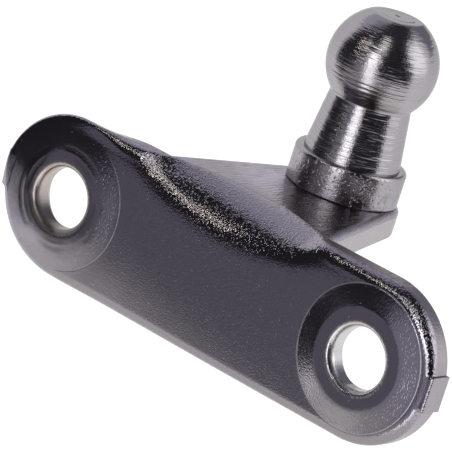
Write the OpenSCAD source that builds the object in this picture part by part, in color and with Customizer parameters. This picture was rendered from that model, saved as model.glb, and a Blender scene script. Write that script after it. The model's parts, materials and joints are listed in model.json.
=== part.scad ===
// Gas spring bracket: a folded sheet steel bracket with two raised screw bosses,
// and a turned ball stud riveted into its tongue.
// X runs along the flange, +Y from the mounting plane towards the tongue, +Z up the stud.
// The origin is in the mounting plane, midway between the two screw holes.

/* [Flange] */
// Distance between the centres of the two screw holes
hole_spacing = 34; // [30:0.5:44]
// Height of the flange, whose ends are full rounds
flange_w = 14.8; // [13.4:0.1:18]
// Thickness of the sheet
sheet_t = 2.6; // [2.2:0.1:3.4]
// Round that the blanking punch leaves along the flange's front edge
edge_r = 0.9; // [0.4:0.1:1.1]
// Width of the strip tab left at each end
tab_w = 3.2; // [2:0.1:4]
// How far a strip tab stands out from the round end
tab_out = 0.2; // [0.1:0.05:0.5]
// How far the front of a strip tab lies behind the flange's front face
tab_drop = 0.25; // [0.1:0.05:0.8]

/* [Screw bosses] */
// Diameter of a screw hole
hole_d = 5.4; // [4.3:0.1:6.2]
// Round at the mouth of a screw hole
hole_round = 0.55; // [0.2:0.05:0.7]
// Diameter of the flat pad on top of a boss
pad_d = 8.8; // [7.8:0.1:9.2]
// Width of the sloping band round a pad
boss_slope_w = 2; // [1.2:0.1:2.1]
// Height of a boss above the flange
boss_h = 0.4; // [0.2:0.05:0.6]

/* [Tongue] */
// Distance from the mounting plane to the stud's axis
reach = 16.4; // [15:0.1:24]
// Height of the tongue's top above the flange's upper edge
tongue_rise = 0.05; // [0.05:0.05:0.4]
// Angle between a side of the tongue and its middle line
tongue_taper = 15; // [8:0.5:18]
// Sheet left round the collar at the tongue's end
tongue_land = 0.35; // [0.2:0.05:2]
// Round along the tongue's upper edge
tongue_edge_r = 0.6; // [0.3:0.1:1]
// Outside radius of the fold at the middle of its width
fold_r = 5.2; // [4:0.1:6]
// Radius along which the fold runs out towards the ears
fold_sweep_r = 45; // [38:1:60]
// Inside radius of the fold
fold_inner_r = 1.8; // [1:0.1:2.4]

/* [Ball stud] */
// Diameter of the ball
ball_d = 10; // [9:0.1:13]
// Height of the ball's centre above the tongue
ball_h = 12; // [10.5:0.1:16]
// Diameter of the flat turned on top of the ball
ball_flat_d = 4.6; // [3:0.1:6]
// Diameter of the neck where it meets the ball
neck_top_d = 7.4; // [6:0.1:7.8]
// Diameter of the neck where it meets the collar
neck_foot_d = 8.8; // [7.9:0.1:9.2]
// Diameter of the collar
collar_d = 10.2; // [9.8:0.1:13]
// Height of the collar
collar_h = 3.2; // [2:0.1:4.5]
// Round along the collar's upper edge
collar_round = 0.35; // [0.1:0.05:0.4]
// Round along the collar's lower edge, where it rests on the tongue
collar_foot_round = 0.15; // [0.1:0.05:0.3]
// Diameter of the shank in the tongue
shank_d = 6.4; // [5:0.1:7.6]
// Diameter of the peened head under the tongue
head_d = 9; // [8:0.1:9.8]
// Height of the peened head
head_h = 1.3; // [0.8:0.1:2]

/* [Hidden] */
$fn = 96;

// Radial play of the shank in the tongue
shank_play = 0.02;
// Widening of a screw hole where the punch broke through, and its depth
break_w = 0.3;
break_depth = 0.6;
// How far the fold's circle stands out of the two faces that it joins
fold_lift = 0.05;
// Half of the turn that the fold's run-out is swept through
fold_turn = 20;
// How far the tongue's straight sides lie inside the tangents to its round end
side_inset = 0.02;
// Centre mark on the ball's flat
mark_d = 0.6;
mark_depth = 0.15;
// How far cutting shapes run past the faces that they cut
over = 1;

hole_r = hole_d / 2;
pad_r = pad_d / 2;
boss_r = pad_r + boss_slope_w;
end_r = flange_w / 2;
// The flange's front and back faces, and the floor of the dish behind a boss
face_y = boss_h;
back_y = face_y + sheet_t;
dish_y = sheet_t;
tongue_top = end_r + tongue_rise;
tongue_under = tongue_top - sheet_t;
tongue_end_r = collar_d / 2 + tongue_land;
// Distance of the tongue's straight sides from the stud's axis, and where a side ends
side_r = tongue_end_r - side_inset;
side_end = [side_r * cos(tongue_taper), reach + side_r * sin(tongue_taper)];
side_length = (side_end[1] - face_y) / cos(tongue_taper);
ball_r = ball_d / 2;
ball_flat_z = ball_h + sqrt(pow(ball_r, 2) - pow(ball_flat_d / 2, 2));
neck_top_z = ball_h - sqrt(pow(ball_r, 2) - pow(neck_top_d / 2, 2));
head_dome_r = (pow(head_d / 2, 2) + pow(head_h, 2)) / (2 * head_h);

// Half width of the tongue between its straight sides, at a distance y from the mounting plane
function tongue_half_w(y) = (side_r + (reach - y) * sin(tongue_taper)) / cos(tongue_taper);

// Turns a shape made along +Z so that it runs along +Y
module along_y() { rotate([-90, 0, 0]) children(); }

// Puts a shape at both screw holes, the left one mirrored
module at_holes() {
    for (side = [0, 1]) mirror([side, 0, 0]) translate([hole_spacing / 2, 0, 0]) children();
}

// Half section of a sheet, w deep and t thick, with the corner at (w, 0) rounded by r
module rounded_section(w, t, r) {
    square([w - r, t]);
    translate([0, r]) square([w, t - r]);
    translate([w - r, r]) circle(r);
}

// Straight middle of the flange, with both long front edges rounded
module flange_bar() {
    translate([-hole_spacing / 2, face_y, 0]) rotate([90, 0, 90]) linear_extrude(hole_spacing)
        for (side = [0, 1]) mirror([0, side]) mirror([1, -1]) rounded_section(end_r, sheet_t, edge_r);
}

// Round end of the flange, with its front edge rounded and a stub of the carrier strip
module ear() {
    translate([0, face_y, 0]) along_y() rotate_extrude() rounded_section(end_r, sheet_t, edge_r);
    translate([0, face_y + tab_drop, -tab_w / 2]) cube([end_r + tab_out, sheet_t - tab_drop, tab_w]);
}

// Raised boss round a screw hole, with its core inside the sheet
module boss() {
    along_y() rotate_extrude()
        polygon([[0, 0], [pad_r, 0], [boss_r, boss_h], [boss_r, dish_y], [0, dish_y]]);
}

// Dish behind a boss, where the same sheet was pushed forward
module boss_dish() {
    along_y() rotate_extrude() polygon([
        [0, dish_y], [pad_r, dish_y], [boss_r, back_y], [boss_r, back_y + over], [0, back_y + over]
    ]);
}

// Punched screw hole: a rounded mouth, a straight bore and a widened far end
module screw_hole() {
    mouth_r = hole_r + hole_round;
    far_r = hole_r + break_w;
    along_y() rotate_extrude() {
        translate([0, -over]) square([hole_r, back_y + 2 * over]);
        difference() {
            translate([0, -over]) square([mouth_r, over + hole_round]);
            translate([mouth_r, hole_round]) circle(hole_round);
        }
        polygon([
            [0, dish_y - break_depth], [hole_r, dish_y - break_depth], [far_r, dish_y],
            [far_r, dish_y + over], [0, dish_y + over]
        ]);
    }
}

// Outline of the tongue seen from above, without its round end
module tongue_plan() {
    root_w = tongue_half_w(face_y);
    polygon([[-root_w, face_y], [root_w, face_y], side_end, [-side_end[0], side_end[1]]]);
}

// Waste outside the rounded upper edge of one side of the tongue
module side_waste() {
    translate([side_end[0], side_end[1], tongue_top]) rotate([0, 0, tongue_taper]) rotate([90, 0, 0])
        translate([-tongue_edge_r, -tongue_edge_r, -over]) linear_extrude(side_length + 2 * over)
            difference() {
                square(tongue_edge_r + over);
                circle(tongue_edge_r);
            }
}

// Tongue that carries the stud, from the front face to its round end
module tongue() {
    difference() {
        translate([0, 0, tongue_under]) linear_extrude(sheet_t) tongue_plan();
        for (side = [0, 1]) mirror([side, 0, 0]) side_waste();
    }
    translate([0, reach, tongue_top]) mirror([0, 0, 1])
        rotate_extrude() rounded_section(tongue_end_r, sheet_t, tongue_edge_r);
}

// Inside round between the back of the flange and the underside of the tongue, reaching into both
module fold_fillet() {
    root_w = tongue_half_w(face_y);
    into = sheet_t / 2;
    intersection() {
        translate([-root_w, back_y, tongue_under - fold_inner_r]) rotate([90, 0, 90])
            linear_extrude(2 * root_w) difference() {
                translate([-into, 0]) square(fold_inner_r + into);
                translate([fold_inner_r, 0]) circle(fold_inner_r);
            }
        linear_extrude(tongue_top) tongue_plan();
    }
}

// Waste outside the fold: a spool whose waist presses deepest at the middle of the tongue
module fold_waste() {
    depth = fold_r - fold_lift;
    half_h = fold_r * sin(45);
    translate([0, face_y + depth, tongue_top - depth]) rotate([-45, 0, 0])
        translate([0, -fold_sweep_r, 0]) rotate([0, 0, 90 - fold_turn])
            rotate_extrude(angle = 2 * fold_turn) difference() {
                translate([fold_sweep_r - 2 * fold_r, -half_h]) square([2 * fold_r, 2 * half_h]);
                translate([fold_sweep_r, 0]) circle(fold_r);
            }
}

// The folded sheet, with the holes for the screws and the stud
module bracket() {
    color([0.36, 0.35, 0.38]) difference() {
        union() {
            flange_bar();
            tongue();
            fold_fillet();
            at_holes() {
                ear();
                boss();
            }
        }
        fold_waste();
        at_holes() {
            boss_dish();
            screw_hole();
        }
        translate([0, reach, tongue_under - over])
            cylinder(h = sheet_t + 2 * over, r = shank_d / 2 + shank_play);
    }
}

// Half section of the stud, with its height measured from the tongue's top
module stud_section() {
    difference() {
        intersection() {
            translate([0, ball_h]) circle(ball_r);
            translate([0, neck_top_z]) square([ball_r, ball_flat_z - neck_top_z]);
        }
        translate([0, ball_flat_z])
            polygon([[0, over], [0, -mark_depth], [mark_d / 2, 0], [mark_d / 2, over]]);
    }
    polygon([[0, collar_h], [neck_foot_d / 2, collar_h], [neck_top_d / 2, neck_top_z], [0, neck_top_z]]);
    translate([0, collar_h]) mirror([0, 1]) rounded_section(collar_d / 2, collar_h / 2, collar_round);
    rounded_section(collar_d / 2, collar_h / 2, collar_foot_round);
    translate([0, -sheet_t]) square([shank_d / 2, sheet_t]);
    intersection() {
        translate([0, head_dome_r - head_h - sheet_t]) circle(head_dome_r);
        translate([0, -head_h - sheet_t]) square([head_d / 2, head_h]);
    }
}

// Turned stud: ball, neck, collar, and a shank whose end is peened under the tongue
module ball_stud() {
    color([0.7, 0.69, 0.71]) translate([0, reach, tongue_top]) rotate_extrude() stud_section();
}

bracket();
ball_stud();
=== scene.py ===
import json
import math

import bpy
import numpy as np
from mathutils import Matrix, Vector


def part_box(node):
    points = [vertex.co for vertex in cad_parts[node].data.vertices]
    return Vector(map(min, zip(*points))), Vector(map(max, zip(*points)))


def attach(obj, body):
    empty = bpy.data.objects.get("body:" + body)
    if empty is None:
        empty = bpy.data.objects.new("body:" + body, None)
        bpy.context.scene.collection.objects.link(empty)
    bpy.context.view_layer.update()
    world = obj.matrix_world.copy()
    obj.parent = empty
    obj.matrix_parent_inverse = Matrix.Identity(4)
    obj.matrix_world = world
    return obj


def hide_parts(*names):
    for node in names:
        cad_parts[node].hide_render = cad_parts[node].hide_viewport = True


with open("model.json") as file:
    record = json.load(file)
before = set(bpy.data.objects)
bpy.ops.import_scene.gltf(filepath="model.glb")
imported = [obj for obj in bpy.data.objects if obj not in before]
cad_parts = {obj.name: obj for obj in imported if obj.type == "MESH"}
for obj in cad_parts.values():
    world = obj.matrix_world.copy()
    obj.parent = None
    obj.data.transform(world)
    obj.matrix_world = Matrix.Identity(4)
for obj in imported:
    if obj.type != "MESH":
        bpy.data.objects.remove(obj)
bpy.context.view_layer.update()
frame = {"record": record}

mm = 0.001
mounts = {mount["name"]: mount for mount in frame["record"]["mounts"]}
bracketLow, bracketHigh = (np.array(corner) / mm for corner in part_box("bracket"))


# Node trees: a Wire is a socket that takes part in Python expressions
class Wire:
    def __init__(self, maker, socket):
        self.maker = maker
        self.socket = socket

    def __add__(self, other):
        return self.maker.maths("ADD", self, other)

    def __radd__(self, other):
        return self.maker.maths("ADD", other, self)

    def __sub__(self, other):
        return self.maker.maths("SUBTRACT", self, other)

    def __rsub__(self, other):
        return self.maker.maths("SUBTRACT", other, self)

    def __mul__(self, other):
        return self.maker.maths("MULTIPLY", self, other)

    def __rmul__(self, other):
        return self.maker.maths("MULTIPLY", other, self)

    def __truediv__(self, other):
        return self.maker.maths("DIVIDE", self, other)

    def __rtruediv__(self, other):
        return self.maker.maths("DIVIDE", other, self)

    def __pow__(self, other):
        return self.maker.maths("POWER", self, other)

    def __rpow__(self, other):
        return self.maker.maths("POWER", other, self)

    def __neg__(self):
        return self.maker.maths("MULTIPLY", self, -1)


class TreeMaker:
    def __init__(self, tree):
        self.tree = tree
        tree.nodes.clear()

    def feed(self, socket, value):
        if isinstance(value, Wire):
            self.tree.links.new(value.socket, socket)
        else:
            socket.default_value = value

    # One call makes any node: its type, its settings, then what its sockets get
    def node(self, kind, settings=None, sockets=None, out=0):
        made = self.tree.nodes.new(kind)
        for key, value in (settings or {}).items():
            setattr(made, key, value)
        for key, value in (sockets or {}).items():
            self.feed(made.inputs[key], value)
        return Wire(self, made.outputs[out]) if made.outputs else made

    def maths(self, operation, *values):
        return self.node("ShaderNodeMath", {"operation": operation}, dict(enumerate(values)))

    def sine(self, angle):
        return self.maths("SINE", angle) if isinstance(angle, Wire) else math.sin(angle)

    def cosine(self, angle):
        return self.maths("COSINE", angle) if isinstance(angle, Wire) else math.cos(angle)

    def combine(self, x, y, z):
        return self.node("ShaderNodeCombineXYZ", None, {"X": x, "Y": y, "Z": z})

    def split(self, vector):
        return [self.node("ShaderNodeSeparateXYZ", None, {0: vector}, out) for out in range(3)]


class Finish(TreeMaker):
    def __init__(self, name):
        self.material = bpy.data.materials.new(name)
        self.material.use_nodes = True
        super().__init__(self.material.node_tree)

    # Object coordinates in millimetres
    def place(self):
        metres = self.node("ShaderNodeTexCoord", None, None, "Object")
        return self.node("ShaderNodeVectorMath", {"operation": "SCALE"}, {0: metres, "Scale": 1 / mm})

    def mask(self, name):
        return self.node("ShaderNodeAttribute", {"attribute_name": name}, None, "Fac")

    # A scale is a number, or three of them where the pattern is drawn out
    def noise(self, at, scale, detail, rough=0.5):
        if isinstance(scale, tuple):
            at = self.node("ShaderNodeVectorMath", {"operation": "MULTIPLY"}, {0: at, 1: scale})
            scale = 1.0
        sockets = {"Vector": at, "Scale": scale, "Detail": detail, "Roughness": rough}
        return self.node("ShaderNodeTexNoise", None, sockets)

    # Noise, or the marks that fade in between two of its values
    def marks(self, at, scale, detail, *fade):
        value = self.noise(at, scale, detail)
        return self.step(value, *fade) if fade else value

    def step(self, value, low, high):
        sockets = {"Value": value, "From Min": low, "From Max": high}
        return self.node("ShaderNodeMapRange", {"interpolation_type": "SMOOTHSTEP"}, sockets)

    # 1 near a middle value, fading out between two distances from it
    def band(self, value, middle, near, far):
        return 1 - self.step(self.maths("ABSOLUTE", value - middle), near, far)

    # Sockets 6 and 7 and output 2 are the Mix node's colours
    def blend(self, factor, first, second):
        settings = {"data_type": "RGBA"}
        return self.node("ShaderNodeMix", settings, {0: factor, 6: first, 7: second}, 2)

    def bump(self, height):
        return self.node("ShaderNodeBump", None, {"Strength": 1.0, "Distance": mm, "Height": height})

    def metal(self, sockets):
        shader = self.node("ShaderNodeBsdfPrincipled", None, {"Metallic": 1.0, **sockets})
        self.node("ShaderNodeOutputMaterial", None, {"Surface": shader})
        return self.material


# Camera at the photograph's viewing angle
cameraView = {
    "azimuth": 33.46,  # degrees from -Y towards +X
    "elevation": 15.852,
    "roll": -17.886,
    "distance": 428.75,  # mm from the aim
    "aim": (-0.554, 1.555, 4.470),
    "lens": 398.23,
    "sensor": 36.0,
    "clip": (10, 20000),  # mm
}


def setCamera(view):
    azimuth, elevation, roll = (math.radians(view[key]) for key in ("azimuth", "elevation", "roll"))
    level = math.cos(elevation)
    back = Vector((math.sin(azimuth) * level, -math.cos(azimuth) * level, math.sin(elevation)))
    side = (-back).cross(Vector((0, 0, 1))).normalized()
    upright = side.cross(-back)
    up = upright * math.cos(roll) + side * math.sin(roll)
    data = bpy.data.cameras.new("photoCamera")
    data.lens, data.sensor_width = view["lens"], view["sensor"]
    data.clip_start, data.clip_end = (distance * mm for distance in view["clip"])
    camera = bpy.data.objects.new("photoCamera", data)
    turn = Matrix((up.cross(back), up, back)).transposed().to_4x4()
    place = Vector(view["aim"]) + back * view["distance"]
    camera.matrix_world = Matrix.Translation(place * mm) @ turn
    bpy.context.scene.collection.objects.link(camera)
    bpy.context.scene.camera = camera


setCamera(cameraView)
print("camera set")

# Studio: white background and floor, with cards that only reflections see
studio = {
    "centre": (0, 10, 8),
    "sky": 0.95,  # as light; where it is seen it is 1
    "floorDrop": 300,
    "floorSize": 9000,
    "floorColour": 0.9,
    "floorGlow": 0.2,  # brings the floor up to white behind the bracket
    "softbox": {"place": (-500, -700, 900), "size": 700, "watts": 6},
    "cardColumns": 24,
    "cardRows": 16,
    "tints": {
        "cool": (0.97, 0.95, 1.1, 1),
        "plain": (1, 1, 1, 1),
        "warm": (1.02, 1, 0.92, 1),
        "gold": (1.08, 1, 0.82, 1),
    },
    "cards": [  # name, tint, elevations, azimuths at the lower and the upper edge, distance, level
        ("cardRoomLeft", "cool", (-28, 58), (-57, 3), (-57, 3), 340, 0.03),
        ("cardRoomEdge", "cool", (-18, 58), (-74, -57), (-64, -57), 340, 0.03),
        ("cardRoomRight", "cool", (-21, 58), (3, 104), (3, 94), 340, 0.03),
        ("cardDim", "warm", (-34, -26), (-45, 3), (-45, 3), 335, 0.5),
        ("cardDimTop", "plain", (-26, -21), (-45, 3), (-45, 3), 335, 0.34),
        ("cardLow", "warm", (-48, -34), (-90, -24), (-80, -24), 335, 0.95),
        ("cardLowRight", "warm", (-48, -34), (-24, 3), (-24, 3), 335, 0.5),
        ("cardFloor", "warm", (-88, -48), (-180, 180), (-180, 180), 290, 0.92),
        ("cardHaze", "cool", (38, 58), (-140, -64), (-140, -64), 350, 0.62),
        ("cardHazeTop", "cool", (58, 76), (-140, -72), (-140, -50), 350, 0.5),
        ("cardLeft", "plain", (-31, -18), (-72, -57), (-74, -57), 345, 0.74),
        ("cardGrey", "cool", (-23, -6), (-41, -20), (-41, -20), 330, 0.2),
        ("cardPale", "cool", (-30, 4), (-20, 3), (-19, 0), 325, 0.41),
        ("cardStrip", "plain", (-50, 9), (3, 25), (1.6, 23.6), 300, 2.15),
        ("cardStripTop", "plain", (9, 25), (1.6, 23.6), (1, 23), 300, 4.2),
        ("cardHigh", "warm", (40, 58), (9, 33), (13, 36), 300, 2.2),
        ("cardSide", "plain", (6, 48), (101, 137), (87, 130), 300, 1.9),
        ("cardSmall", "warm", (24, 41), (-17, -6), (-24, -12), 300, 2.0),
        ("cardLine", "gold", (17, 36), (-23.1, -21.7), (-35.7, -34.3), 300, 10),
        ("cardLid", "cool", (58, 90), (-180, 180), (-180, 180), 360, 0.04),
        ("cardBackDark", "cool", (16, 58), (154, 204), (150, 204), 380, 0.3),
    ],
}


def plainMesh(name, points, faces):
    mesh = bpy.data.meshes.new(name)
    mesh.from_pydata([tuple(point) for point in np.asarray(points) * mm], [], faces)
    piece = bpy.data.objects.new(name, mesh)
    bpy.context.scene.collection.objects.link(piece)
    return piece


def makeCard(plan, name, tint, elevations, lowerAzimuths, upperAzimuths, distance, level):
    columns, rows = plan["cardColumns"], plan["cardRows"]
    across, rise = np.meshgrid(np.linspace(0, 1, columns + 1), np.linspace(0, 1, rows + 1))
    left, right = (a + (b - a) * rise for a, b in zip(lowerAzimuths, upperAzimuths))
    azimuth = np.radians(left + (right - left) * across)
    elevation = np.radians(elevations[0] + (elevations[1] - elevations[0]) * rise)
    flat = np.cos(elevation)
    outward = np.stack([np.sin(azimuth) * flat, -np.cos(azimuth) * flat, np.sin(elevation)], -1)
    points = np.array(plan["centre"]) + distance * outward.reshape(-1, 3)
    corner = np.arange(len(points)).reshape(rows + 1, columns + 1)
    faces = np.stack([corner[:-1, :-1], corner[:-1, 1:], corner[1:, 1:], corner[1:, :-1]], -1)
    card = plainMesh(name, points, faces.reshape(-1, 4).tolist())
    glow = Finish(name)
    light = glow.node("ShaderNodeEmission", None, {"Color": plan["tints"][tint], "Strength": level})
    glow.node("ShaderNodeOutputMaterial", None, {"Surface": light})
    card.data.materials.append(glow.material)
    card.visible_camera = card.visible_diffuse = card.visible_shadow = card.visible_transmission = False


def seenRays(maker):
    names = ("Is Camera Ray", "Is Glossy Ray", "Is Transmission Ray")
    camera, glossy, through = (maker.node("ShaderNodeLightPath", None, None, name) for name in names)
    return maker.maths("MAXIMUM", maker.maths("MAXIMUM", camera, glossy), through)


def makeFloor(plan):
    half = plan["floorSize"] / 2
    height = bracketLow[2] - plan["floorDrop"]
    corners = [(-half, -half, height), (half, -half, height), (half, half, height), (-half, half, height)]
    floor = plainMesh("floor", corners, [(0, 1, 2, 3)])
    white = Finish("floorWhite")
    shade = plan["floorColour"]
    matt = white.node("ShaderNodeBsdfDiffuse", None, {"Color": (shade, shade, shade, 1)})
    lift = white.node("ShaderNodeEmission", None, {"Strength": plan["floorGlow"] * seenRays(white)})
    lit = white.node("ShaderNodeAddShader", None, {0: matt, 1: lift})
    below = white.node("ShaderNodeNewGeometry", None, None, "Backfacing")  # open from underneath
    clear = white.node("ShaderNodeBsdfTransparent")
    shown = white.node("ShaderNodeMixShader", None, {0: below, 1: lit, 2: clear})
    white.node("ShaderNodeOutputMaterial", None, {"Surface": shown})
    floor.data.materials.append(white.material)


def makeStudio(plan):
    world = bpy.data.worlds.new("whiteRoom")
    bpy.context.scene.world = world
    world.use_nodes = True
    sky = TreeMaker(world.node_tree)
    strength = plan["sky"] + (1 - plan["sky"]) * seenRays(sky)
    light = sky.node("ShaderNodeBackground", None, {"Color": (1, 1, 1, 1), "Strength": strength})
    sky.node("ShaderNodeOutputWorld", None, {"Surface": light})
    makeFloor(plan)

    box = plan["softbox"]
    lamp = bpy.data.lights.new("softbox", "AREA")
    lamp.size, lamp.energy = box["size"] * mm, box["watts"]
    softbox = bpy.data.objects.new("softbox", lamp)
    softbox.location = Vector(box["place"]) * mm
    softbox.rotation_euler = (-softbox.location).to_track_quat("-Z", "Y").to_euler()
    softbox.visible_glossy = False
    bpy.context.scene.collection.objects.link(softbox)
    for card in plan["cards"]:
        makeCard(plan, *card)


makeStudio(studio)
bpy.context.scene.view_settings.view_transform = "Standard"
print("studio set with", len(studio["cards"]), "cards")

# Bracket: one pressed sheet, drawn as a field that is negative inside the steel
bracketSizes = {
    "holeX": mounts["screw_holes"]["dims"]["spacing_x_mm"] / 2,
    "holeR": mounts["screw_holes"]["dims"]["hole_r_mm"],
    "endR": -bracketLow[2],
    "sheet": 2.6,
    "leftX": (1, -1),  # what only the left half has fades in over this
    "bossH": 0.4,
    "bossR": 6.4,
    "bossSoft": (0.5, 0.14),  # how far the left and the right boss's corners are rounded
    "padR": (4.2, 4.4),  # left and right boss
    "padCut": 0.6,  # the left pad is shorter towards its lower left
    "padCutFacing": (-0.4, -0.9),
    "padCutReach": (0.6, 3.2),
    "dishR": 3.55,  # the left pad dips towards its hole from here on
    "dishTurn": 0.34,
    "dishSoft": 0.2,
    "mouthW": 0.3,  # a hole's mouth is wider by this
    "mouthDepth": 0.8,  # and narrows over this depth
    "mouthSoft": 0.1,
    "mouthRound": 0.2,
    "breakW": 0.5,  # the punch broke through wider at the back
    "breakDepth": 0.8,
    "breakMost": 1.5,  # as a share of that width
    "earFall": 0.2,  # the left ear slopes on to its rim
    "earFallX": (-15, -19),
    "earLean": 0.3,  # its upper wall leans inwards to the back
    "earLeanX": (-11, -17),
    "earLeanY": 0.8,  # from this depth on
    "earLeanZ": (0, 5),
    "crown": 0.0085,  # the flange falls away towards its lower left end, below a slanting line
    "crownZ": -1.8,
    "crownTilt": 0.25,
    "crownStraight": 6,  # from here on the fall is straight
    "crownFade": (3.2, 10.4),  # distances from a hole over which it sets in
    "edgeRound": 1.2,  # the rolled front edge, with the shares by which it is smaller in two places
    "edgeLeft": 0.78,
    "edgeLeftX": (-12, -16.5),
    "edgeLeftZ": (-3, 2),
    "edgeRight": 0.35,
    "edgeRightX": (19.5, 23.5),
    "edgeRightZ": (5.5, 2),
    "backRound": 0.3,
    "tabHalf": 1.6,
    "tabX": bracketHigh[0],
    "tabDrop": 0.06,
    "tabRound": 0.15,
    "tabLean": (0.2, 0.03),  # a tab's end leans outwards to the back
    "tabSeam": 0.04,  # how softly a tab meets the edge, and how much softer near the front
    "tabBlend": (0.3, 0.06),
    "tabBlendY": (1.6, 0.8),
    "reach": mounts["ball"]["pos_m"][1] / mm,
    "top": bracketHigh[2],
    "tongueR": 5.45,
    "taper": 15,
    "tongueRound": 0.6,
    "studHoleR": 3.22,
    "foldR": 5.2,
    "foldLift": 0.05,
    "foldSweep": 45,
    "foldEnds": (7.4, 11.4),  # here the fold rises to the ears
    "foldEndRise": 0.5,
    "foldInner": 1.8,
    "foldSoftLow": 0.4,  # the fold runs into the flange softly, and more so towards its ends
    "foldSoftGrow": 1.0,
    "foldSoftTop": 0.1,
    "foldTurn": (-1.5, 1.5),  # where its lower half gives way to its upper half
    "foldSkin": (-0.5, -0.02),  # depths over which the sheet counts as stretched
    "foldStretch": (-1.6, 0.6),
    "dentAt": (-9.4, 0.93, 6.45),  # the press flattened the fold's left end here
    "dentFacing": (0.169, -0.883, 0.437),
    "dentReach": 1.0,
    "dentFade": 0.5,
    "dentSoft": 0.2,
    "dentBlend": 0.15,
}


def smooth(value, low, high):
    share = np.clip((value - low) / (high - low), 0, 1)
    return share * share * (3 - 2 * share)


def leftRight(x, pair):
    return np.where(x > 0, pair[1], pair[0])


def roundMax(a, b, radius):
    corner = np.hypot(np.maximum(a + radius, 0), np.maximum(b + radius, 0))
    return np.minimum(np.maximum(a, b), -radius) + corner


def softMax(a, b, width):
    near = np.maximum(width - np.abs(a - b), 0)
    return np.maximum(a, b) + near * near / (4 * width)


def softPlus(value, soft):
    return 0.5 * (value + np.sqrt(value * value + soft * soft))


def softClip(value, low, high, soft):
    return low + softPlus(value - low, soft) - softPlus(value - high, soft)


# What the press did to the flat sheet: bosses, the left pad's dip, and where the front falls away
def pressedFront(x, z, size):
    hole = np.hypot(np.abs(x) - size["holeX"], z)
    left = smooth(x, *size["leftX"])
    lowLeft = size["padCutFacing"][0] * (x + size["holeX"]) + size["padCutFacing"][1] * z
    padR = leftRight(x, size["padR"]) - size["padCut"] * smooth(lowLeft, *size["padCutReach"]) * left
    press = softClip(hole, padR, size["bossR"], leftRight(x, size["bossSoft"])) - padR
    rise = size["bossH"] * (1 - press / (size["bossR"] - padR))
    below = np.maximum(size["crownZ"] - size["crownTilt"] * x - z, 0)
    bent = np.minimum(below, size["crownStraight"])
    fall = size["crown"] * bent * (2 * below - bent) * smooth(hole, *size["crownFade"])
    pastBoss = softPlus(hole - size["bossR"], size["bossSoft"][0])
    fall = fall + size["earFall"] * pastBoss * smooth(x, *size["earFallX"])
    dish = 0.5 * size["dishTurn"] * softPlus(size["dishR"] - hole, size["dishSoft"]) ** 2 * left
    return hole, rise, fall, dish


# Flange with its rolled front edge, strip tabs and screw holes
def flangeField(x, y, z, size):
    side = np.abs(x)
    back = size["bossH"] + size["sheet"]
    hole, rise, fall, dish = pressedFront(x, z, size)
    outline = np.hypot(np.maximum(side - size["holeX"], 0), z) - size["endR"]
    lean = size["earLean"] * smooth(x, *size["earLeanX"]) * smooth(z, *size["earLeanZ"])
    outline = outline + lean * np.maximum(y - size["earLeanY"], 0)

    bore = size["holeR"] - hole
    mouth = bore + size["mouthW"] * softPlus(1 - y / size["mouthDepth"], size["mouthSoft"]) ** 2
    face = roundMax(size["bossH"] + fall - rise + dish - y, mouth, size["mouthRound"])
    upperLeft = smooth(x, *size["edgeLeftX"]) * smooth(z, *size["edgeLeftZ"])
    rightEnd = smooth(x, *size["edgeRightX"]) * smooth(np.abs(z), *size["edgeRightZ"])
    roll = size["edgeRound"] * (1 - size["edgeLeft"] * upperLeft - size["edgeRight"] * rightEnd)
    flange = roundMax(outline, face, roll)

    tabEnd = side - size["tabX"] + leftRight(x, size["tabLean"]) * (back - y)
    tab = np.maximum(np.abs(z) - size["tabHalf"], tabEnd)
    tab = roundMax(tab, size["bossH"] + fall + size["tabDrop"] - y, size["tabRound"])
    tab = np.maximum(tab, size["holeX"] + size["bossR"] - side)
    seam = size["tabSeam"] + leftRight(x, size["tabBlend"]) * smooth(y, *size["tabBlendY"])
    flange = -softMax(-flange, -tab, seam)
    flange = roundMax(flange, y - back + rise, size["backRound"])
    torn = np.clip((y - size["sheet"]) / size["breakDepth"] + 1, 0, size["breakMost"])
    flange = np.maximum(flange, bore + size["breakW"] * torn)
    return flange, {"outline": outline, "hole": hole, "rise": rise}


# Tongue with its round end, and the inside round of the fold
def tongueField(x, y, z, size):
    side = np.abs(x)
    back = size["bossH"] + size["sheet"]
    under = size["top"] - size["sheet"]
    taper = math.radians(size["taper"])
    ahead = y - size["reach"]
    along = ahead * math.cos(taper) - side * math.sin(taper)
    straight = side * math.cos(taper) + ahead * math.sin(taper)
    plan = np.where(along > 0, np.hypot(side, ahead), straight) - size["tongueR"]
    tongue = roundMax(plan, z - size["top"], size["tongueRound"])
    tongue = roundMax(tongue, under - z, size["backRound"])
    tongue = np.maximum(tongue, size["bossH"] - y)

    hollow = roundMax(back - y, z - under, size["foldInner"])
    fillet = np.maximum(plan, -hollow)
    fillet = np.maximum(fillet, np.maximum(size["bossH"] - y, y - back - size["foldInner"]))
    fillet = np.maximum(fillet, np.abs(z - under) - size["foldInner"])
    return np.minimum(tongue, fillet), plan


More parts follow.
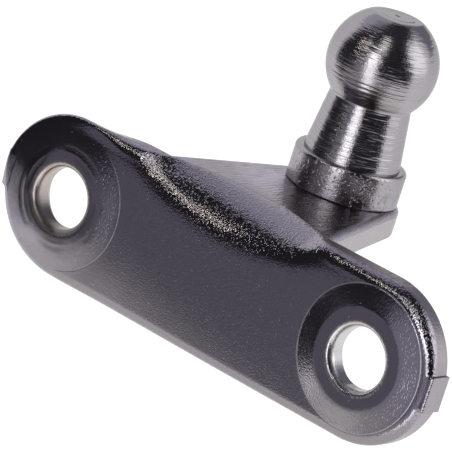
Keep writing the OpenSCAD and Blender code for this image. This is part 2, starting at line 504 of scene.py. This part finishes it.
def bracketField(x, y, z, size):
    flange, parts = flangeField(x, y, z, size)
    tongue, plan = tongueField(x, y, z, size)
    steel = np.minimum(flange, tongue)

    # Outside round of the fold, which runs out towards the ears
    spread = size["foldLift"] + x * x / (2 * math.sqrt(2) * size["foldSweep"])
    spread = spread + size["foldEndRise"] * smooth(np.abs(x), *size["foldEnds"])
    above = z - size["top"] - spread
    fold = roundMax(size["bossH"] - spread - y, above, size["foldR"])
    upper = smooth(y - size["bossH"] + z - size["top"], *size["foldTurn"])
    softLow = size["foldSoftLow"] + size["foldSoftGrow"] * (spread - size["foldLift"])
    steel = softMax(steel, fold, softLow + (size["foldSoftTop"] - softLow) * upper)

    # Dent at the fold's left end, and the stud's hole
    gap = [axis - middle for axis, middle in zip((x, y, z), size["dentAt"])]
    far = np.sqrt(sum(axis * axis for axis in gap))
    dent = sum(axis * share for axis, share in zip(gap, size["dentFacing"]))
    dent = dent - size["dentFade"] * softPlus(far - size["dentReach"], size["dentSoft"])
    steel = softMax(steel, dent, size["dentBlend"])
    steel = np.maximum(steel, size["studHoleR"] - np.hypot(x, y - size["reach"]))
    stretched = smooth(fold, *size["foldSkin"]) * smooth(above + size["foldR"], *size["foldStretch"])
    parts.update(plan=plan, fold=stretched)
    return steel, parts


# The field is meshed by one point in each grid cell that the surface crosses
bracketMesh = {
    "cell": 0.165,
    "margin": (1.5, 2.5),  # cells before and after the bracket's box
    "closings": 4,  # steps that close in on a crossing
    "leastStep": 1e-9,  # keeps the values at its two ends apart
    "slopeReach": 0.004,  # mm to each side
    "flatHold": 0.05,  # keeps the point of a flat cell by its middle
    "pulls": 3,  # steps that pull the points onto the surface
    "leastSlope": 0.2,
    "inward": 0.3,  # share of the way from a corner to its quad's middle
    "crease": 15,  # degrees
}
leastLength = 1e-6  # a vector of no length stays one


def unit(vectors):
    return vectors / np.maximum(np.linalg.norm(vectors, axis=1, keepdims=True), leastLength)


def fieldSlope(field, points, rules):
    reach = rules["slopeReach"]
    slope = np.zeros_like(points)
    for axis in range(3):
        shift = np.eye(3)[axis] * reach
        slope[:, axis] = (field(*(points + shift).T) - field(*(points - shift).T)) / (2 * reach)
    return slope


# The cells that the surface crosses, and each cell's number in that list
def crossedCells(inside):
    filled = 0
    for i, j, k in np.ndindex(2, 2, 2):
        ends = [size - 1 + shift for size, shift in zip(inside.shape, (i, j, k))]
        filled = filled + inside[i:ends[0], j:ends[1], k:ends[2]].astype(np.int8)
    crossed = (filled > 0) & (filled < 8)
    cells = np.argwhere(crossed)
    index = np.full(crossed.shape, -1)
    index[crossed] = np.arange(len(cells))
    return cells, index


# Where the surface crosses grid edges that run from a value a to a value b
def closeIn(field, origin, edge, ahead, a, b, rules):
    near, far = np.zeros(len(edge)), np.ones(len(edge))
    for _ in range(rules["closings"]):
        share = near + (far - near) * a / (a - b)
        points = origin + rules["cell"] * (edge + share[:, None] * ahead)
        value = field(*points.T)
        before = (value < 0) == (a < 0)
        near, a = np.where(before, share, near), np.where(before, value, a)
        far, b = np.where(before, far, share), np.where(before, b, value)
        b = np.where(a == b, a + rules["leastStep"], b)
    return points


def netSurface(field, low, high, rules):
    cell, (before, after) = rules["cell"], rules["margin"]
    axes = [np.arange(a - before * cell, b + after * cell, cell) for a, b in zip(low, high)]
    origin = np.array([axis[0] for axis in axes])
    values = field(*np.meshgrid(*axes, indexing="ij"))
    inside = values < 0
    cells, index = crossedCells(inside)

    # A quad round each grid edge that the surface crosses, and the surface's plane at that crossing
    hits, middle = np.zeros((len(cells), 1)), np.zeros((len(cells), 3))
    planes, pulls = np.zeros((len(cells), 3, 3)), np.zeros((len(cells), 3))
    quads = []
    for axis in range(3):
        ahead, u, v = (np.eye(3, dtype=int)[(axis + turn) % 3] for turn in range(3))
        first = np.take(inside, range(inside.shape[axis] - 1), axis)
        second = np.take(inside, range(1, inside.shape[axis]), axis)
        edge = np.argwhere(first != second)
        ring = np.stack([index[tuple((edge - shift).T)] for shift in (u + v, v, 0 * u, u)], 1)
        outward = first[tuple(edge.T)]
        quads.append(np.where(outward[:, None], ring, ring[:, ::-1]))
        a, b = values[tuple(edge.T)], values[tuple((edge + ahead).T)]
        points = closeIn(field, origin, edge, ahead, a, b, rules)
        normal = unit(fieldSlope(field, points, rules))
        plane = normal[:, :, None] * normal[:, None, :]
        pull = normal * (normal * points).sum(1, keepdims=True)
        for corner in ring.T:
            np.add.at(hits, corner, 1)
            np.add.at(middle, corner, points)
            np.add.at(planes, corner, plane)
            np.add.at(pulls, corner, pull)

    # A point in each crossed cell, where those planes meet
    middle = middle / hits
    pulls = pulls - np.einsum("nij,nj->ni", planes, middle)
    held = planes + rules["flatHold"] * np.eye(3)
    points = middle + np.linalg.solve(held, pulls[:, :, None])[:, :, 0]
    centre = origin + cell * (cells + 0.5)
    return np.clip(points, centre - 0.5 * cell, centre + 0.5 * cell), np.concatenate(quads)


# Ranges over which the masks that the finish reads fade in
maskFades = {
    "lookingUp": (0.985, 0.999),  # upward part of the normal
    "cutGap": (0.12, 0.02),  # mm from a cut edge's wall
    "cutSteep": (0.8, 0.97),
    "tabGap": 0.03,  # mm past the flange's outline
    "tabSteep": 0.2,
    "rollStart": (0.01, 0.2),  # how far the sheet has turned from the front
    "rollEnd": (0.98, 0.85),
    "rollGap": (-1.5, -0.9),  # mm from the outline
    "bossEdge": (0.02, 0.1),  # mm from a boss's foot and top
    "padShare": (0.8, 0.95),  # of a boss's height
    "boreGap": (0.62, 0.5),  # mm from a hole's wall
}


# Where the sheet was stretched, rolled, sheared or pressed
def bracketMasks(points, normals, size, fades):
    parts = bracketField(*points.T, size)[1]
    turned = 1 - np.abs(normals[:, 1])
    onTongue = points[:, 1] > size["bossH"] + size["sheet"]
    steep = np.where(onTongue, 1 - np.abs(normals[:, 2]), turned)
    steep = steep + fades["tabSteep"] * (parts["outline"] > fades["tabGap"])
    wallGap = np.minimum(np.maximum(-parts["outline"], 0), np.abs(parts["plan"]))
    top = smooth(normals[:, 2], *fades["lookingUp"])
    roll = smooth(turned, *fades["rollStart"]) * smooth(turned, *fades["rollEnd"])
    footToTop = smooth(parts["rise"], *fades["bossEdge"])
    topToFoot = smooth(size["bossH"] - parts["rise"], *fades["bossEdge"])
    return {
        "fold": parts["fold"] * (1 - top),
        "shear": smooth(wallGap, *fades["cutGap"]) * smooth(steep, *fades["cutSteep"]),
        "roll": roll * smooth(parts["outline"], *fades["rollGap"]),
        "boss": footToTop * topToFoot,
        "pad": smooth(parts["rise"] / size["bossH"], *fades["padShare"]),
        "wall": smooth(parts["hole"] - size["holeR"], *fades["boreGap"]),
        "top": top,
    }


def makeBracket(size, rules, fades):
    def field(x, y, z):
        return bracketField(x, y, z, size)[0]

    points, quads = netSurface(field, bracketLow, bracketHigh, rules)
    for _ in range(rules["pulls"]):
        slope = fieldSlope(field, points, rules)
        length = np.maximum((slope * slope).sum(1), rules["leastSlope"] ** 2)
        pull = slope * (field(*points.T) / length)[:, None]
        far = np.maximum(np.linalg.norm(pull, axis=1, keepdims=True) / (0.5 * rules["cell"]), 1)
        points = points - pull / far
    points = np.clip(points, bracketLow, bracketHigh)
    normals = unit(fieldSlope(field, points, rules))

    # Along a crease each corner of a quad takes the normal of its own side
    corners = points[quads]
    inward = corners + rules["inward"] * (corners.mean(1, keepdims=True) - corners)
    own = unit(fieldSlope(field, inward.reshape(-1, 3), rules))
    shared = normals[quads].reshape(-1, 3)
    creased = (own * shared).sum(1, keepdims=True) < math.cos(math.radians(rules["crease"]))

    bracket = plainMesh("bracketSheet", points, quads.tolist())
    mesh = bracket.data
    mesh.polygons.foreach_set("use_smooth", np.ones(len(quads), bool))
    mesh.normals_split_custom_set(np.where(creased, own, shared).tolist())
    for name, values in bracketMasks(points, normals, size, fades).items():
        data = mesh.attributes.new(name, "FLOAT", "POINT").data
        data.foreach_set("value", values.astype(np.float32))
    return bracket


# Bright plating on the sheet: distances and heights are in mm
sheetFinish = {
    "colour": (0.33, 0.308, 0.357, 1),
    "shearColours": ((0.36, 0.335, 0.36, 1), (0.42, 0.39, 0.415, 1)),  # flange and tongue
    "shearFade": (3.2, 4.5),
    "topColours": ((0.396, 0.348, 0.453, 1), (0.26, 0.222, 0.293, 1)),  # by the stud and away from it
    "topFade": (8.5, 12),
    "boreColours": ((0.46, 0.415, 0.4, 1), (0.6, 0.58, 0.6, 1)),  # left and right hole
    # rubbed tone of the drawn lines and the back; also the painted shade in the right bore
    "wornAndShade": (0.2, 0.19, 0.215, 1),
    "stain": (0.25, 0.225, 0.19, 1),
    # dark tone of the tool rings and the hole's lower lip; also the painted shade in the left bore
    "grimeAndShade": (0.08, 0.075, 0.085, 1),
    "edgeTint": (0.8, 0.8, 0.8, 1),
    "shares": {  # how strongly a mark colours the sheet
        "spots": 0.6,
        "stainedSide": 0.35,
        "drawn": 0.5,
        "rings": 0.3,
        "lip": 0.75,
        "mill": 0.3,
        "cloud": 0.35,
        "corner": 0.3,
        # painted shade on the lower left of the bores
        "bore": 0.75,
    },
    "noises": {  # scale per mm, detail, and the values between which marks fade in
        "wave": (0.45, 1),
        "grain": (7.5, 0),
        "streak": ((4, 0.4, 4), 3),
        "boreLines": ((6, 0.8, 6), 2),
        "sparkle": (6, 0, 0.55, 0.8),
        "pits": (4.5, 0, 0.85, 0.9),
        "scratch": ((15, 15, 1.6), 1, 0.78, 0.82),
        "specks": ((9, 9, 5), 0, 0.6, 0.8),
        "wornRings": (0.35, 1, 0.4, 0.6),
        "spots": ((0.9, 0.5, 0.9), 3, 0.5, 0.68),
        "mill": ((0.12, 1, 5), 3, 0.35, 0.75),
        "cloud": (0.22, 3, 0.35, 0.7),
    },
    "drawnFade": (0.42, 0.72),  # the streaks that show as drawn lines
    "grainFace": 0.012,  # outside the bores, and what each mask adds to it
    "grain": {"pad": -0.0084, "fold": 0.004, "roll": 0.016, "boss": -0.005, "low": -0.004},
    "grainLeast": 0.001,
    "heights": {
        "wave": 0.012,
        "sparkle": 0.014,
        "topStreak": 0.09,
        "shearStreak": 0.02,
        "boreLines": 0.02,
        "pits": -0.008,
        "scratch": -0.005,
        "footLine": -0.012,
        "specks": -0.006,
        "rings": -0.013,
    },
    "rough": 0.11,
    "roughness": {
        "stretched": -0.04,
        "boss": 0.04,
        "shear": 0.15,
        "wall": 0.14,
        "low": 0.1,
        "top": 0.07,
        "pits": 0.2,
        "scratch": 0.2,
        "footLine": 0.25,
        "leftEar": 0.06,
        "behind": 0.06,
        "cloudBehind": 0.12,
    },
    "leftFade": (0.5, -0.5),
    "frontFade": (1.2, 0.9),
    "backFade": (2.3, 2.55),
    "lowTilt": 0.25,  # the flange's lower part is duller, below a slanting line
    "lowFade": (-2, -8),
    "leftEarX": (5, 2),  # from the left hole
    "leftEarZ": (2, -3),
    "footLineWidth": (0.02, 0.09),  # scribed round a boss's foot
    "footLineX": (0, 2),  # from the left hole
    "footLineZ": (4.8, 5.8),
    "speckLeft": 1.3,  # how much deeper the left boss's specks are
    "speckLeftX": (1, 4),  # from each hole
    "speckRightX": (-3, 2),
    "rings": (3.75, 4.5),  # tool marks round the left hole
    "ringWidth": (0.05, 0.4),
    "lipR": 3.3,  # the lower lip of that hole
    "lipWidth": (0.1, 0.45),
    "lipZ": (1, -2.5),
    "stainedX": (-1, 3),
    "cornerIn": 0.8,  # dull corners behind the bosses
    "cornerWidth": (0.2, 1.6),
    "cornerZ": (8, 7),
    "boreFacing": (-0.5, -0.87),  # the side of a bore that is darkened as painted shade
    "boreFade": (2.2, 2.65),
}


def makeSheetFinish(look, size):
    steel = Finish("platedSheet")
    at = steel.place()
    across, deep, up = steel.split(at)
    marks = {name: steel.marks(at, *plan) for name, plan in look["noises"].items()}
    marks["drawn"] = steel.step(marks["streak"], *look["drawnFade"])
    masks = {name: steel.mask(name) for name in ("fold", "shear", "roll", "boss", "pad", "top", "wall")}
    fold, boss, top, wall = (masks[name] for name in ("fold", "boss", "top", "wall"))

    # Places on the sheet
    left = steel.step(across, *look["leftFade"])
    front = steel.step(deep, *look["frontFade"])
    fromLeftHole = across + size["holeX"]
    fromHole = across + size["holeX"] * (2 * left - 1)
    holeRing = ((steel.maths("ABSOLUTE", across) - size["holeX"]) ** 2 + up ** 2) ** 0.5
    fromStud = (across ** 2 + (deep - size["reach"]) ** 2) ** 0.5
    low = steel.step(up + look["lowTilt"] * across, *look["lowFade"]) * (1 - boss)
    leftEar = steel.step(fromLeftHole, *look["leftEarX"]) * steel.step(up, *look["leftEarZ"])
    behind = steel.step(deep, *look["backFade"]) * (1 - top) * (1 - masks["shear"]) * (1 - fold)
    masks.update(low=low, leftEar=front * leftEar, behind=behind, cloudBehind=behind * marks["cloud"])
    masks["stretched"] = steel.maths("MAXIMUM", fold, masks["roll"])

    # Marks: lines round the bosses, specks on them, tool rings round the left hole and a dark band on its
    # lower lip
    footLine = front * steel.band(holeRing, size["bossR"], *look["footLineWidth"])
    footLine = footLine * steel.step(fromLeftHole, *look["footLineX"])
    footLine = footLine * (1 - left * steel.step(up, *look["footLineZ"]))
    speckLeft = look["speckLeft"] * left * steel.step(fromHole, *look["speckLeftX"])
    speckRight = (1 - left) * steel.step(fromHole, *look["speckRightX"])
    rings = 0
    for radius in look["rings"]:
        rings = rings + steel.band(holeRing, radius, *look["ringWidth"])
    rings = rings * left * front * marks["wornRings"]
    lip = left * front * steel.band(holeRing, look["lipR"], *look["lipWidth"])
    lip = lip * steel.step(up, *look["lipZ"])
    masks.update(pits=marks["pits"], scratch=marks["scratch"], footLine=footLine)

    # Relief: grain where the sheet was stretched, drawn lines on the tongue, and the marks
    relief = {
        "wave": marks["wave"],
        "sparkle": marks["sparkle"] * (fold ** 3 + masks["roll"]),
        "topStreak": marks["streak"] * top,
        "shearStreak": marks["streak"] * masks["shear"],
        "boreLines": marks["boreLines"] * wall,
        "pits": marks["pits"],
        "scratch": marks["scratch"],
        "footLine": footLine,
        "specks": marks["specks"] * boss * (speckLeft + speckRight),
        "rings": rings,
    }
    grain = look["grainFace"]
    for name, height in look["grain"].items():
        grain = grain + height * masks[name]
    height = marks["grain"] * (grain * (1 - wall) + look["grainLeast"])
    for name, share in look["heights"].items():
        height = height + share * relief[name]
    rough = look["rough"]
    for name, share in look["roughness"].items():
        rough = rough + share * masks[name]

    # Colours, one over the other
    share = look["shares"]
    sheared = steel.blend(steel.step(deep, *look["shearFade"]), *look["shearColours"])
    tongueTop = steel.blend(steel.step(fromStud, *look["topFade"]), *look["topColours"])
    stainedSide = share["stainedSide"] * steel.step(across, *look["stainedX"])
    corner = steel.band(holeRing, size["bossR"] - look["cornerIn"], *look["cornerWidth"])
    corner = share["corner"] * corner * steel.step(up, *look["cornerZ"])
    dull = share["mill"] * marks["mill"] + share["cloud"] * marks["cloud"] + corner
    bore = steel.blend(left, look["boreColours"][1], look["boreColours"][0])
    # Painted shade: each bore wall is darkened on its lower left
    shadedSide = look["boreFacing"][0] * fromHole + look["boreFacing"][1] * up
    boreShade = steel.blend(left, look["wornAndShade"], look["grimeAndShade"])
    coats = [
        (masks["shear"], sheared),
        (top, tongueTop),
        (top * (share["spots"] * marks["spots"] + stainedSide), look["stain"]),
        (share["drawn"] * top * marks["drawn"], look["wornAndShade"]),
        (share["rings"] * rings + share["lip"] * lip, look["grimeAndShade"]),
        (behind * dull, look["wornAndShade"]),
        (wall, bore),
        # painted shade on the lower left of the bores
        (share["bore"] * wall * steel.step(shadedSide, *look["boreFade"]), boreShade),
    ]
    colour = look["colour"]
    for factor, coat in coats:
        colour = steel.blend(factor, colour, coat)
    return steel.metal({
        "Base Color": colour,
        "Roughness": rough,
        "Normal": steel.bump(height),
        "Specular Tint": look["edgeTint"],
    })


bracket = makeBracket(bracketSizes, bracketMesh, maskFades)
bracket.data.materials.append(makeSheetFinish(sheetFinish, bracketSizes))
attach(bracket, "root")
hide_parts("bracket")
print("bracket made,", len(bracket.data.polygons), "quads")

# Ball stud: a lathe in Geometry Nodes, whose profile follows these sizes
studSizes = {
    "axisY": mounts["ball"]["pos_m"][1] / mm,
    "foot": bracketHigh[2],  # the collar stands on the tongue
    "ballR": mounts["ball"]["dims"]["r_mm"],
    "ballH": mounts["ball"]["pos_m"][2] / mm - bracketHigh[2],
    "flatR": 2.3,
    "flatRound": 1.1,  # round from the flat into the ball
    "markR": 0.3,
    "markDepth": 0.15,
    "neckTopR": 3.7,
    "neckFootR": 4.4,
    "neckRound": 0.5,  # hollow round from the neck into the ball
    "collarR": 5.1,
    "collarH": 3.2,
    "collarRound": 0.35,
    "footRound": 0.15,
    "shankR": 3.2,
    "shankH": 2.6,
    "headR": 4.5,
    "headH": 1.3,
}
studMesh = {
    "stepsRound": 192,
    "sharpAngle": 24,  # degrees
    "weld": 0.002,  # mm
}


# The stud's half section from the middle of its flat to the bottom of its head: lines to a radius and
# a height, and arcs round a middle with angles from the upward axis. The last number is a count of steps.
def studProfile(lathe, size):
    quarterTurn, halfTurn = math.pi / 2, math.pi
    flatH = size["ballH"] + (size["ballR"] * size["ballR"] - size["flatR"] * size["flatR"]) ** 0.5
    flatRoundH = flatH - size["flatRound"]
    inner = size["ballR"] - size["flatRound"]
    flatTurn = lathe.maths("ARCCOSINE", (flatRoundH - size["ballH"]) / inner)
    flatEnd = inner * lathe.sine(flatTurn)

    # The hollow round touches the ball and the neck's slant
    neckTop = size["ballH"] - (size["ballR"] * size["ballR"] - size["neckTopR"] * size["neckTopR"]) ** 0.5
    slantR, slantH = size["neckFootR"] - size["neckTopR"], size["collarH"] - neckTop
    slant = (slantR * slantR + slantH * slantH) ** 0.5
    slantR, slantH = slantR / slant, slantH / slant
    offR = size["neckTopR"] - size["neckRound"] * slantH
    offH = neckTop + size["neckRound"] * slantR - size["ballH"]
    outer = size["ballR"] + size["neckRound"]
    along = offR * slantR + offH * slantH
    slide = (along * along + outer * outer - offR * offR - offH * offH) ** 0.5 - along
    roundR, roundH = offR + slide * slantR, offH + slide * slantH
    neckTurn = lathe.maths("ARCCOSINE", roundH / outer)
    neckFacing = lathe.maths("ARCTAN2", -slantH, slantR)
    hollow = (neckTurn + halfTurn, neckFacing + halfTurn)

    collarIn = size["collarR"] - size["collarRound"]
    collarRoundH = size["collarH"] - size["collarRound"]
    footIn = size["collarR"] - size["footRound"]
    domeR = (size["headR"] * size["headR"] + size["headH"] * size["headH"]) / (2 * size["headH"])
    domeH = domeR - size["headH"] - size["shankH"]
    domeTurn = halfTurn - lathe.maths("ARCSINE", size["headR"] / domeR)
    start = (0.0, flatH - size["markDepth"])
    return start, [
        ("line", size["markR"], flatH, 2),
        ("line", flatEnd, flatH, 6),
        ("arc", flatEnd, flatRoundH, size["flatRound"], 0.0, flatTurn, 8),
        ("arc", 0.0, size["ballH"], size["ballR"], flatTurn, neckTurn, 72),
        ("arc", roundR, size["ballH"] + roundH, size["neckRound"], *hollow, 6),
        ("line", size["neckFootR"], size["collarH"], 12),
        ("line", collarIn, size["collarH"], 2),
        ("arc", collarIn, collarRoundH, size["collarRound"], 0.0, quarterTurn, 8),
        ("line", size["collarR"], size["footRound"], 8),
        ("arc", footIn, size["footRound"], size["footRound"], quarterTurn, halfTurn, 5),
        ("line", size["shankR"], 0.0, 3),
        ("line", size["shankR"], -size["shankH"], 4),
        ("line", size["headR"], -size["shankH"], 3),
        ("arc", 0.0, domeH, domeR, domeTurn, halfTurn, 20),
    ]


# The radius and the height at a station, which counts the profile's steps
def alongProfile(lathe, start, profile, station):
    radius, height = lastRadius, lastHeight = start
    done = 0
    for kind, *shape, count in profile:
        share = lathe.node("ShaderNodeClamp", None, {"Value": (station - done) / count})
        if kind == "line":
            endRadius, endHeight = shape
            radius = radius + share * (endRadius - lastRadius)
            height = height + share * (endHeight - lastHeight)
        else:
            midRadius, midHeight, arcR, first, last = shape
            angle = first + share * (last - first)
            radius = radius + arcR * (lathe.sine(angle) - lathe.sine(first))
            height = height + arcR * (lathe.cosine(angle) - lathe.cosine(first))
            endRadius = midRadius + arcR * lathe.sine(last)
            endHeight = midHeight + arcR * lathe.cosine(last)
        lastRadius, lastHeight = endRadius, endHeight
        done = done + count
    return radius, height


def makeStud(sizes, rules, material):
    tree = bpy.data.node_groups.new("studLathe", "GeometryNodeTree")
    lathe = TreeMaker(tree)
    tree.interface.new_socket("Geometry", in_out="INPUT", socket_type="NodeSocketGeometry")
    keys = {
        name: tree.interface.new_socket(name, in_out="INPUT", socket_type="NodeSocketFloat").identifier
        for name in sizes
    }
    tree.interface.new_socket("Geometry", in_out="OUTPUT", socket_type="NodeSocketGeometry")
    size = {name: lathe.node("NodeGroupInput", None, None, name) for name in sizes}
    start, profile = studProfile(lathe, size)

    # A grid with the profile's steps along one side is bent round the axis and welded shut
    rows = sum(step[-1] for step in profile)
    counts = {"Vertices X": rules["stepsRound"] + 1, "Vertices Y": rows + 1}
    grid = lathe.node("GeometryNodeMeshGrid", None, counts, "Mesh")
    across, up, _ = lathe.split(lathe.node("GeometryNodeInputPosition"))
    turn = (across + 0.5) * (2 * math.pi)
    radius, height = alongProfile(lathe, start, profile, (0.5 - up) * rows)
    place = lathe.combine(
        radius * lathe.cosine(turn) * mm,
        (radius * lathe.sine(turn) + size["axisY"]) * mm,
        (height + size["foot"]) * mm,
    )
    bent = lathe.node("GeometryNodeSetPosition", None, {"Geometry": grid, "Position": place})
    welded = {"Geometry": bent, "Distance": rules["weld"] * mm}
    closed = lathe.node("GeometryNodeMergeByDistance", None, welded)
    bend = lathe.node("GeometryNodeInputMeshEdgeAngle", None, None, "Unsigned Angle")
    sharp = lathe.maths("GREATER_THAN", bend, math.radians(rules["sharpAngle"]))
    allFaces = {"Geometry": closed, "Shade Smooth": True}
    shaded = lathe.node("GeometryNodeSetShadeSmooth", {"domain": "FACE"}, allFaces)
    sharpEdges = {"Geometry": shaded, "Selection": sharp, "Shade Smooth": False}
    shaded = lathe.node("GeometryNodeSetShadeSmooth", {"domain": "EDGE"}, sharpEdges)
    real = lathe.node("GeometryNodeRealizeInstances", None, {"Geometry": shaded})
    dressed = lathe.node("GeometryNodeSetMaterial", None, {"Geometry": real, "Material": material})
    lathe.node("NodeGroupOutput", None, {0: dressed})

    holder = plainMesh("ballStud", np.zeros((0, 3)), [])
    modifier = holder.modifiers.new("lathe", "NODES")
    modifier.node_group = tree
    for name, value in sizes.items():
        modifier[keys[name]] = float(value)
    bpy.context.view_layer.update()
    graph = bpy.context.evaluated_depsgraph_get()
    made = bpy.data.meshes.new_from_object(holder.evaluated_get(graph))
    holder.modifiers.remove(modifier)
    holder.data = made
    made.name = "ballStud"
    return holder


# Bright plating over turning lines: distances and heights are in mm
studFinish = {
    "colour": (0.375, 0.355, 0.382, 1),
    "stain": (0.2, 0.17, 0.14, 1),
    "edgeTint": (0.7, 0.7, 0.7, 1),
    "rough": 0.18,
    "collarRough": 0.05,
    "anisotropic": 0.5,
    "anisotropicTurn": 0.25,  # stretched along the axis, across the turning lines
    "lines": ((0.22, 0.22, 3.2), 2, 0.6),  # scale per mm, detail, roughness
    "fine": ((0.5, 0.5, 9), 2),
    "speck": (7, 1),
    "blotch": ((1.1, 1.1, 0.7), 3, 0.6),
    "blotchFade": (0.5, 0.72),
    "pits": (4.5, 0, 0.6, 0.8),
    "heights": {"lines": 0.07, "fine": 0.028, "speck": 0.01, "groove": -0.03, "flat": 0.06},
    "collarHeights": {"speck": 0.014, "pits": -0.03},
    "collarFade": (0.05, -0.25),  # from the collar's top
    "grooves": (-1.2, -1.6),  # from the ball's centre
    "grooveWidth": (0.02, 0.12),
    "flatFade": (0.87, 0.88),  # shares of the ball's radius
    "flatRing": (1.65, 1.45),  # the tool left a ring on the flat
    "blotched": 0.55,
    "smeared": 0.66,
    "smearAcross": (0.821, 0.571),  # a brown smear under the ball lies across this direction
    "smearWidth": (0.9, 0.1),
    "smearTop": (-1.2, -2.2),  # from the ball's centre
    "smearFoot": (-5.5, -3.6),
    "smearFront": (0, -1),  # from the stud's axis
}


def makeStudFinish(look, size):
    steel = Finish("turnedStud")
    at = steel.place()
    across, deep, up = steel.split(at)
    behindAxis = deep - size["axisY"]
    fromAxis = (across ** 2 + behindAxis ** 2) ** 0.5
    overBall = up - (size["foot"] + size["ballH"])
    collar = steel.step(up - (size["foot"] + size["collarH"]), *look["collarFade"])

    # Turning lines, two deeper grooves under the ball's middle, and the ring on its flat
    share = look["heights"]
    speck = steel.noise(at, *look["speck"])
    turned = share["lines"] * steel.noise(at, *look["lines"])
    turned = turned + share["fine"] * steel.noise(at, *look["fine"]) + share["speck"] * speck
    for groove in look["grooves"]:
        turned = turned + share["groove"] * steel.band(overBall, groove, *look["grooveWidth"])
    onFlat = steel.step(overBall / size["ballR"], *look["flatFade"])
    turned = turned + share["flat"] * onFlat * steel.step(fromAxis, *look["flatRing"])

    # Pitted, stained collar
    share = look["collarHeights"]
    pitted = share["speck"] * speck + share["pits"] * steel.marks(at, *look["pits"])
    blotch = steel.step(steel.noise(at, *look["blotch"]), *look["blotchFade"])
    sideways = across * look["smearAcross"][0] + behindAxis * look["smearAcross"][1]
    smear = steel.step(steel.maths("ABSOLUTE", sideways), *look["smearWidth"])
    smear = smear * steel.step(overBall, *look["smearTop"]) * steel.step(overBall, *look["smearFoot"])
    smear = smear * steel.step(behindAxis, *look["smearFront"])
    stain = look["blotched"] * collar * blotch + look["smeared"] * (1 - collar) * smear
    return steel.metal({
        "Base Color": steel.blend(stain, look["colour"], look["stain"]),
        "Roughness": look["rough"] + look["collarRough"] * collar,
        "Normal": steel.bump((1 - collar) * turned + collar * pitted),
        "Anisotropic": look["anisotropic"],
        "Anisotropic Rotation": look["anisotropicTurn"],
        "Specular Tint": look["edgeTint"],
    })


stud = makeStud(studSizes, studMesh, makeStudFinish(studFinish, studSizes))
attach(stud, "root")
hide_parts("ball_stud")
print("ball stud made,", len(stud.data.polygons), "faces")
